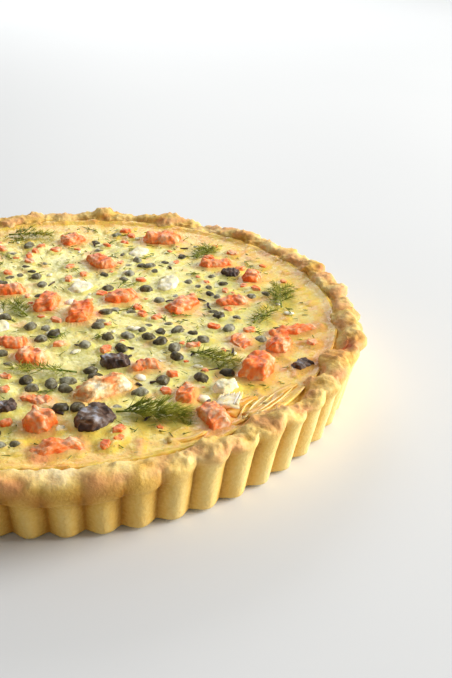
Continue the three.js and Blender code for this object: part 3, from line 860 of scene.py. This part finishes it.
def build_capers(spots):
    """Capers are buds about 5 mm long, sunk to their middle, with a film of custard where they sink in."""
    bm = bmesh.new()
    draw = random.Random(31)
    tones, films = [], []
    for x, y, size, turn, kind, lift in spots:
        if kind != "caper":
            continue
        level = surface_height(x, y)
        tilt = Matrix.Rotation(turn, 4, "Z") @ Matrix.Rotation(draw.uniform(-0.3, 0.3), 4, "Y")
        squash = Matrix.Diagonal((draw.uniform(1.05, 1.3), 0.94, draw.uniform(0.7, 0.86), 1))
        at = Matrix.Translation((x, y, level + lift * size))
        matrix = at @ tilt @ squash
        verts = bmesh.ops.create_icosphere(bm, subdivisions=3, radius=size, matrix=matrix)["verts"]
        tone = draw.uniform(0.1, 0.7)
        for vert in verts:
            away = vert.co - at.translation
            wrinkle = 0.2 * rough(*vert.co, 1.9) + 0.1 * rough(vert.co.x, vert.co.y, 2 * vert.co.z, 0.8)
            vert.co += away * wrinkle
            # The top of each caper is painted paler, as painted highlight.
            top_highlight = ease(0.2, 0.9, away.z / size + 0.5 * rough(*vert.co, 2))
            tones.append(tone - 0.8 * wrinkle + 0.3 * top_highlight)
            films.append(0.6 * (1 - ease(0.0, 0.7, vert.co.z - level + 0.8 * rough(*vert.co, 1.5))))
    make_piece("capers", bm, CAPER, (), {"tone": tones, "film": films})


def build_flakes(spots):
    """Small cut flakes of salmon, each with five uneven sides."""
    bm = bmesh.new()
    draw = random.Random(37)
    for x, y, size, turn, kind, _ in spots:
        if kind != "flake":
            continue
        tilt = Matrix.Rotation(turn, 4, "Z") @ Matrix.Rotation(draw.uniform(-0.15, 0.15), 4, "X")
        squash = Matrix.Diagonal((1.25, draw.uniform(0.75, 1.0), min(1.0, 0.32 * size), 1))
        at = Matrix.Translation((x, y, surface_height(x, y)))
        bmesh.ops.create_cone(
            bm,
            cap_ends=True,
            cap_tris=True,
            segments=5,
            radius1=size,
            radius2=0.7 * size,
            depth=FLAKE_THICKNESS,
            matrix=at @ tilt @ squash,
        )
    bmesh.ops.subdivide_edges(bm, edges=bm.edges, cuts=4, use_grid_fill=True)
    soften(bm, 1)
    layers = flaky(bm, Vector(), turn=0.6, seed=90, lumpy=0.55, ridge=0.3)
    make_piece("salmon_flakes", bm, SALMON, (), layers)


# The custard, as one spun disc with its fine relief. Its marks are the floor's edge, the top of its side,
# and then ring after ring from its edge to its middle.
CUSTARD_STEPS = 600
CUSTARD_RINGS = 100
FLOOR_MARK = 40
SIDE_MARK = 80
TOP_MARK = 100
EDGE_OVERLAP = 0.9  # how far the custard reaches into the pastry, out of sight


def custard_point(x, y, radius, edge, near_spots):
    """Height of the set custard, and how baked, blushed by salmon, green with herbs or creamy it is."""
    bumps = 0.3 * rough(x, y, 3, 7) + 0.2 * rough(x, y, 9, 2.6)
    blister = ease(0.22, 0.6, rough(x, y, 21, 5.5)) * ease(30, 92, radius)
    curd = ease(0.3, 0.6, rough(x + 60, y, 13, 3.4))
    apart = distance_to(near_any, x, y)
    _, index, from_spot = near_spots.tree.find((x, y, 0))
    height = surface_height(x, y) + bumps + 0.6 * blister + 0.35 * curd
    height += 0.7 * (1 - ease(0, 2.2, apart)) + 0.6 * (1 - ease(0, 1.6, from_spot - near_spots.sizes[index]))
    height += 1.1 * ease(edge - 4, edge, radius)
    ragged = radius + 6 * rough(x, y, 40, 16) + 3 * rough(x, y, 11, 5)
    bake = 0.16 + 0.22 * ease(66, 96, ragged) + 0.14 * ease(93, 106, ragged)
    bake += 0.14 * blister + 0.16 * rough(x, y, 71, 10) - 0.08 * curd
    bake += 0.24 * near(math.atan2(y, x), -29, 8) * ease(94, 105, radius)
    salmon = distance_to(near_salmon, x, y) + 1.2 * rough(x, y, 5, 4)
    blush = 0.7 * (1 - ease(0, 4.0, salmon)) + 0.5 * ease(0.3, 0.65, rough(x, y, 33, 8))
    herb = 0.35 * near_dill(x, y) + 0.42 * ease(0.1, 0.55, rough(x, y, 55, 9)) * (1 - ease(88, 100, radius))
    cream = 0.4 * ease(0.3, 0.65, rough(x, y, 91, 6)) * (1 - ease(92, 104, radius))
    return height, (bake, blush, herb, cream)


class Spots:
    """Finds the nearest caper or flake to a place."""

    def __init__(self, spots):
        self.sizes = [spot[2] for spot in spots]
        self.tree = kdtree.KDTree(len(spots))
        for index, spot in enumerate(spots):
            self.tree.insert((spot[0], spot[1], 0), index)
        self.tree.balance()


def build_custard(spots):
    """The custard: its floor and side inside the shell, out of sight, and its top with the fine relief."""
    bm = bmesh.new()
    marks = [0.0, FLOOR_MARK, SIDE_MARK, *range(TOP_MARK, TOP_MARK + 1 + CUSTARD_RINGS)]
    spun_line(bm, marks, CUSTARD_STEPS)
    near_spots = Spots(spots)
    values = {}
    for vert in bm.verts:
        mark = vert.co.length
        angle = math.atan2(vert.co.y, vert.co.x) if mark > 0 else 0.0
        edge = fill_edge(angle) + EDGE_OVERLAP
        if mark < TOP_MARK - 0.5:
            radius = (FLOOR_RADIUS - CUSTARD_GAP) * min(1, mark / FLOOR_MARK)
            height = SHELL_FLOOR + 0.3
            if mark > SIDE_MARK - 0.5:
                radius = edge - EDGE_OVERLAP - CUSTARD_GAP
                height = FILL_LEVEL - 1.5
            x, y = radius * math.cos(angle), radius * math.sin(angle)
            amounts = (0.4, 0.0, 0.0, 0.0)
        else:
            radius = edge * (1 - (mark - TOP_MARK) / CUSTARD_RINGS)
            x, y = radius * math.cos(angle), radius * math.sin(angle)
            height, amounts = custard_point(x, y, radius, edge, near_spots)
        vert.co = (x, y, height)
        values[tuple(vert.co)] = amounts
    layers = close_spun(bm, values, ("bake", "blush", "herb", "cream"), (0.2, 0.0, 0.0, 0.0))
    make_piece("custard", bm, CUSTARD, ["filling"], layers)


# Dill and other fine bits, thread by thread. The radii are in millimetres.
STEM_RADIUS = 0.4
LEAFLET_RADIUS = 0.18
THREAD_RADIUS = 0.14
TUFT_STEM_RADIUS = 0.26
TUFT_THREAD_RADIUS = 0.19
STEM_PARTS = 8
LEAFLET_PARTS = 4
SHRED_PARTS = 5
STRAND_PARTS = 8
BUSHY = 2  # a sprig that is bushier than this has longer threads, swept outwards


def add_thread(bm, points, radius, narrow=0.75, flat=1.0, sides=5):
    """A tapering thread through the points, closed at both ends; flat squashes its section."""
    heading = (points[1] - points[0]).to_track_quat("Z", "Y").to_matrix().to_4x4()
    matrix = Matrix.Translation(points[0]) @ heading @ Matrix.Diagonal((1, flat, 1, 1))
    ring = bmesh.ops.create_circle(bm, cap_ends=False, segments=sides, radius=radius, matrix=matrix)["verts"]
    edges = list(dict.fromkeys(edge for vert in ring for edge in vert.link_edges))
    bmesh.ops.edgeloop_fill(bm, edges=edges)
    for a, b in zip(points, points[1:]):
        made = bmesh.ops.extrude_edge_only(bm, edges=edges)["geom"]
        ring = [item for item in made if isinstance(item, bmesh.types.BMVert)]
        edges = [item for item in made if isinstance(item, bmesh.types.BMEdge)]
        bmesh.ops.translate(bm, verts=ring, vec=b - a)
        bmesh.ops.scale(bm, vec=(narrow,) * 3, space=Matrix.Translation(-b), verts=ring)
    bmesh.ops.pointmerge(bm, verts=ring, merge_co=points[-1])


def add_curl(bm, start, heading, length, sag, radius, parts=3, sides=5):
    """A thread that leaves start along heading and curves down by sag."""
    points = []
    for i in range(parts + 1):
        drop = Vector((0, 0, sag * (i / parts) ** 2))
        points.append(start + heading * (length * i / parts) - drop)
    add_thread(bm, points, radius, sides=sides)
    return points


def on_curl(points, share):
    """The place at a share of the way along a curl."""
    parts = len(points) - 1
    low = min(parts - 1, int(share * parts))
    return points[low].lerp(points[low + 1], share * parts - low)


def build_dill(index, sprig):
    """A sprig of dill: a stem, leaflets where the solid has them, and fine threads all round each leaflet."""
    cx, cy, long, wide, turn, leaflets, bushy = sprig
    draw = Draw(200 + index)
    pairs = leaflets // 2
    fronds = []
    for side, start in ((1, 0.1), (-1, 0.18)):
        for i in range(pairs):
            share = start + i * (0.92 - start) / pairs
            reach = 0.5 * wide * (0.8 + 0.4 * draw()) * (1.15 - 0.5 * share)
            fronds.append((share, side, reach, math.radians(46 + 3 * draw())))
    bend = 2.4 * (draw() - 0.5)
    loose = random.Random(500 + index)
    fronds += [
        (share + 0.4 / pairs, side, reach * loose.uniform(0.6, 0.95), spread * loose.uniform(0.7, 1.2))
        for share, side, reach, spread in list(fronds)
    ]
    arch = loose.uniform(0.4, 1.4)
    bm = bmesh.new()
    spin = Matrix.Rotation(math.radians(turn), 3, "Z")

    def settle(share):
        """Where the stem lies at a share of its length."""
        along = share * long
        flat = spin @ Vector((along - long / 2, bend * math.sin(math.pi * share), 0)) + Vector((cx, cy, 0))
        height = surface_height(flat.x, flat.y) + 0.9 + arch * math.sin(math.pi * min(1, share))
        return Vector((flat.x, flat.y, height))

    add_thread(bm, [settle(i / STEM_PARTS) for i in range(STEM_PARTS + 1)], STEM_RADIUS, 0.88)
    for share, side, reach, spread in fronds:
        start = settle(share)
        flat = Vector((math.cos(spread), side * math.sin(spread), 0))
        heading = (spin @ flat + Vector((0, 0, loose.uniform(-0.05, 0.45)))).normalized()
        sag = loose.uniform(0.2, 1.2)
        points = add_curl(bm, start, heading, reach, sag, LEAFLET_RADIUS, LEAFLET_PARTS)
        for _ in range(int(reach * bushy * 1.6) + 3):
            root = loose.uniform(0.05, 0.95)
            base = on_curl(points, root)
            sway = loose.choice((-1, 1)) * loose.uniform(0.2, 1.1)
            if bushy > BUSHY:
                sway = -side * loose.uniform(-0.3, 1.1)
            turned = Matrix.Rotation(sway, 3, "Z") @ heading
            turned.z += loose.uniform(-0.1, 0.55)
            size = loose.uniform(1.8, 5.2) * (1.2 - 0.5 * root) * (1.35 if bushy > BUSHY else 1)
            sag = loose.uniform(-0.3, 1.0)
            add_curl(bm, base, turned.normalized(), size, sag, THREAD_RADIUS, sides=4)
    for vert in bm.verts:
        floor = surface_height(vert.co.x, vert.co.y) + 0.15
        vert.co.z = max(vert.co.z, floor + 0.1 * (vert.co.z - floor))
    ahead = spin @ Vector((1, 0, 0))
    tones = [0.25 + 0.5 * min(1, max(0, (vert.co - settle(0)).dot(ahead) / long)) for vert in bm.verts]
    make_piece(f"dill_sprig_{index + 1}", bm, DILL, [f"dill_{index + 1}"], {"tone": tones})


def gather(bm, part):
    """Moves a finished part into a piece, since each step on a large shape is slow."""
    mesh = bpy.data.meshes.new("part")
    part.to_mesh(mesh)
    part.free()
    bm.from_mesh(mesh)
    bpy.data.meshes.remove(mesh)


def build_flecks():
    """Short bits and small tufts of dill all over the custard, half sunk in it."""
    bm = bmesh.new()
    draw = random.Random(61)
    for _ in range(FLECK_PARTS):
        part = bmesh.new()
        for _ in range(FLECKS_IN_PART):
            x, y = strewn(draw.random, FLECKS_REACH)
            if distance_to(near_any, x, y) < 0.8:
                continue
            heading = Vector((draw.uniform(-1, 1), draw.uniform(-1, 1), draw.uniform(-0.05, 0.15)))
            start = Vector((x, y, surface_height(x, y) + draw.uniform(0.15, 0.5)))
            length = draw.uniform(1.2, 4.0)
            sag = draw.uniform(-0.2, 0.3)
            add_curl(part, start, heading.normalized(), length, sag, draw.uniform(0.16, 0.28))
        gather(bm, part)
    tufts = 0
    while tufts < TUFTS:
        x, y = strewn(draw.random, LOOSE_REACH)
        if distance_to(near_any, x, y) < 2.5:
            continue
        lie = TURN * draw.random()
        start = Vector((x, y, surface_height(x, y) + 0.5))
        length = draw.uniform(4, 9)
        heading = Vector((math.cos(lie), math.sin(lie), 0.08))
        part = bmesh.new()
        stem = add_curl(part, start, heading, length, draw.uniform(0.2, 0.9), TUFT_STEM_RADIUS, LEAFLET_PARTS)
        for i in range(draw.randint(7, 13)):
            share = draw.uniform(0.1, 1)
            sway = (1 if i % 2 else -1) * draw.uniform(0.3, 1.0)
            turned = Matrix.Rotation(sway, 3, "Z") @ heading
            turned.z += draw.uniform(-0.05, 0.35)
            length, sag = draw.uniform(1.5, 4.2), draw.uniform(0, 0.6)
            add_curl(part, on_curl(stem, share), turned.normalized(), length, sag, TUFT_THREAD_RADIUS)
        gather(bm, part)
        tufts += 1
    for vert in bm.verts:
        vert.co.z = max(vert.co.z, surface_height(vert.co.x, vert.co.y) + 0.2)
    tones = [0.35 + 0.4 * rough(vert.co.x, vert.co.y, 5, 6) for vert in bm.verts]
    make_piece("dill_flecks", bm, DILL, (), {"tone": tones})


# The strips that show in the front: x, y, length, and turn in degrees.
ONION_SHREDS = [(30, -57, 7.5, 8), (50, -52, 9, 12), (20, -30, 6, 150), (-30, -52, 8, 35), (60, -40, 6, 80)]


def build_shreds():
    """Thin dark strips of onion in the custard."""
    bm = bmesh.new()
    draw = random.Random(67)
    strips = list(ONION_SHREDS)
    while len(strips) < SHREDS:
        x, y = strewn(draw.random, SHREDS_REACH)
        if distance_to(near_any, x, y) > 1.5:
            strips.append((x, y, draw.uniform(3, 7), draw.uniform(0, 360)))
    for x, y, length, turn in strips:
        angle = math.radians(turn)
        curve = draw.uniform(-0.5, 0.5)
        points = []
        for i in range(SHRED_PARTS + 1):
            share = i / SHRED_PARTS - 0.5
            u, v = length * share, curve * length * (0.25 - share * share)
            px = x + u * math.cos(angle) - v * math.sin(angle)
            py = y + u * math.sin(angle) + v * math.cos(angle)
            points.append(Vector((px, py, surface_height(px, py) + 0.3 + 0.3 * math.cos(3 * share))))
        add_thread(bm, points, draw.uniform(0.5, 0.8), 0.93, 0.6, 6)
    tones = [0.35 + 0.3 * rough(*vert.co, 3) for vert in bm.verts]
    make_piece("onion_shreds", bm, ONION, (), {"tone": tones})


def build_curds():
    """Crumbs of soft cheese, half melted into the custard."""
    bm = bmesh.new()
    draw = random.Random(71)
    made = 0
    while made < CURDS:
        x, y = strewn(draw.random, LOOSE_REACH)
        if distance_to(near_any, x, y) < 1.2:
            continue
        size = draw.uniform(0.8, 2.4)
        spin = Matrix.Rotation(draw.uniform(0, TURN), 4, "Z")
        at = Matrix.Translation((x, y, surface_height(x, y) + 0.25))
        matrix = at @ spin @ Matrix.Diagonal((1.3, 0.9, 0.34, 1))
        verts = bmesh.ops.create_icosphere(bm, subdivisions=2, radius=size, matrix=matrix)["verts"]
        for vert in verts:
            vert.co += (vert.co - at.translation) * (0.5 * rough(*vert.co, 1.3))
        made += 1
    make_piece("cheese_curds", bm, CHEESE)


# Melted cheese at the right front: where each strand starts and ends, its thickness, flatness, bow to the
# side, tone and lift. Wide flat ones are skins, and thin ones the ridges that fan out over them.
STRANDS = [
    (51, -85, 63, -73, 2.6, 0.22, 1.5, 0.0, 0),
    (56, -87, 72, -72, 2.2, 0.22, -1.8, 0.1, 0),
    (64, -80, 79, -68, 1.8, 0.25, 1.2, 0.2, 0),
    (44, -92, 56, -88, 1.8, 0.25, -1.0, 0.1, 0),
    (28, -97, 42, -94, 1.6, 0.25, -1.2, 0.2, 0),
    (54, -89, 61, -76, 0.4, 0.8, 1.4, 0.5, 0.3),
    (54.4, -89, 65, -75, 0.36, 0.8, 0.9, 0.6, 0.3),
    (54.8, -89, 69, -74, 0.42, 0.8, 0.5, 0.5, 0.3),
    (55.4, -89, 73, -73, 0.34, 0.8, -0.6, 0.6, 0.3),
    (57, -88.5, 77, -71, 0.38, 0.8, -1.3, 0.5, 0.3),
    (50.5, -80, 54.5, -70, 5.4, 0.24, 0, 0.7, 0),
]
# Fine fibres lie side by side on the last one, a block of pale cheese.
FIBRES = 9
for number in range(FIBRES):
    fibre_start = (46.6 + 0.95 * number, -79 - 0.4 * (number % 3))
    fibre_end = (50.6 + 0.95 * number, -70.5 + 0.5 * (number % 2))
    STRANDS.append((*fibre_start, *fibre_end, 0.72, 0.6, 0.3, 0.7 + 0.15 * (number % 2), 0.75))


def build_strands():
    """Strands and skins of melted cheese that lie on the custard and climb the rim."""
    bm = bmesh.new()
    tones = []
    for x1, y1, x2, y2, thick, flat, bow, tone, lift in STRANDS:
        along = Vector((x2 - x1, y2 - y1, 0))
        side = Vector((-along.y, along.x, 0)).normalized()
        points = []
        for i in range(STRAND_PARTS + 1):
            share = i / STRAND_PARTS
            place = Vector((x1, y1, 0)) + along * share + side * bow * math.sin(math.pi * share)
            edge = fill_edge(math.atan2(place.y, place.x))
            place.z = surface_height(place.x, place.y) + 0.35 + lift + 0.3 * math.sin(6 * share + 3 * bow)
            place.z += 0.25 * thick * flat + 1.1 * ease(edge - 4, edge, place.xy.length)
            points.append(place)
        add_thread(bm, points, thick, 0.96, flat, 8)
        tones += [tone] * (len(bm.verts) - len(tones))
    for vert in bm.verts:
        vert.co.z += 0.25 * rough(vert.co.x, vert.co.y, 0, 2.4)
    make_piece("melted_strands", bm, MELTED, (), {"tone": tones})


spots = extra_toppings(fused_toppings())
build_shell()
build_custard(spots)
build_capers(spots)
build_flakes(spots)
# With each kind: its first seed, its relief of lumps and ridges, and how many times its corners are rounded.
for toppings, material, slot, first_seed, lumpy, ridge, soft in (
    (salmon_toppings, SALMON, "salmon", 0, 1.15, 0.5, 2),
    (cheese_toppings, CHEESE, "cheese", 40, 0.6, 0.1, 3),
    (onion_toppings, ONION, "onion", 60, 1.1, 0.7, 1),
    ([toasted_topping], TOASTED, "toasted_salmon", 80, 1.3, 0.6, 1),
):
    for number, topping in enumerate(toppings):
        build_topping(topping, material, first_seed + number, lumpy, ridge, soft)
for number, sprig in enumerate(DILL_SPRIGS):
    build_dill(number, sprig)
build_flecks()
build_shreds()
build_curds()
build_strands()


# The table, the light and the camera.
def build_table():
    """A wide pale floor under the quiche."""
    bm = bmesh.new()
    bmesh.ops.create_grid(bm, x_segments=2, y_segments=2, size=3)
    mesh = bpy.data.meshes.new("table")
    bm.to_mesh(mesh)
    bm.free()
    mesh.materials.append(pale_table())
    table = bpy.data.objects.new("table", mesh)
    bpy.context.scene.collection.objects.link(table)


def add_softbox(name, place, target, size, watts, tint):
    """A round soft light at a place in metres, turned to its target."""
    data = bpy.data.lights.new(name, "AREA")
    data.shape = "DISK"
    data.size = size
    data.energy = watts
    data.color = colour(tint)[:3]
    light = bpy.data.objects.new(name, data)
    light.location = place
    light.rotation_euler = (Vector(target) - Vector(place)).to_track_quat("-Z", "Y").to_euler()
    bpy.context.scene.collection.objects.link(light)


build_table()
add_softbox("window_light", (1.48, -0.08, 0.62), (0, 0, 0.02), 1.1, 46, "fffbf7")
add_softbox("back_light", (0.1, 1.3, 0.7), (0.1, 1.15, 0), 0.7, 7, "ffffff")
add_softbox("room_fill", (-0.6, 0.9, 0.9), (0, 0, 0.02), 1.2, 1.5, "fff8f0")

world = bpy.data.worlds.new("studio")
world.use_nodes = True
world.node_tree.nodes["Background"].inputs["Color"].default_value = colour("fbfaf8")
world.node_tree.nodes["Background"].inputs["Strength"].default_value = 0.3
bpy.context.scene.world = world
bpy.context.scene.view_settings.view_transform = "Standard"

# The camera that the picture was taken from, found from the round base, rim and flutes.
CAMERA_PLACE = Vector((2.66, -339.51, 190.50)) * MM
CAMERA_RIGHT = Vector((0.98509, -0.17135, 0.01553))
CAMERA_UP = Vector((0.06681, 0.46412, 0.88325))
CAMERA_FORWARD = Vector((0.15855, 0.86904, -0.46864))
FOCAL_PIXELS = 900
PICTURE_HEIGHT = 678
SENSOR = 36

data = bpy.data.cameras.new("camera")
data.sensor_fit = "VERTICAL"
data.sensor_height = SENSOR
data.lens = FOCAL_PIXELS / PICTURE_HEIGHT * SENSOR
data.clip_start = 0.01
camera = bpy.data.objects.new("camera", data)
turn = Matrix((CAMERA_RIGHT, CAMERA_UP, -CAMERA_FORWARD)).transposed()
camera.matrix_world = Matrix.Translation(CAMERA_PLACE) @ turn.to_4x4()
bpy.context.scene.collection.objects.link(camera)
bpy.context.scene.camera = camera
